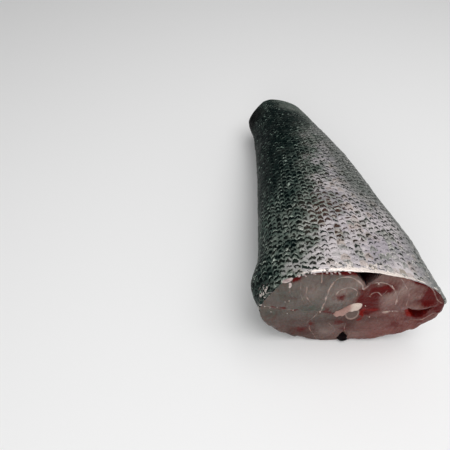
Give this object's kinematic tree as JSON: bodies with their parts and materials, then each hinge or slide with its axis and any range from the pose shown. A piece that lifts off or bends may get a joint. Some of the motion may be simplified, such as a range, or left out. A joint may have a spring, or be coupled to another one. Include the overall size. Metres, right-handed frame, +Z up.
{
  "type": "barracuda steak",
  "caption": "Raw cut tail section of a barracuda on its side, with scaly skin, a broad face of ringed flesh, a backbone through it and a narrow cut at the tail root.",
  "frame": {"origin": "under the middle of the piece's box, on the surface that it rests on", "axes": "+Y along the body from the broad cut towards the tail, +X from the fish's back to its belly, +Z up out of the flank that faces up"},
  "size_m": [0.126, 0.237, 0.0905],
  "materials": {
    "scaly_skin": "wet, silvery scales with dark spots, near black along the back",
    "raw_flesh": "moist, slightly see-through raw flesh, blood-stained",
    "bone": "moist, pinkish bone"
  },
  "bodies": {
    "root": {"skin": "scaly_skin", "flesh": "raw_flesh", "backbone": "bone"}
  },
  "joints": []
}
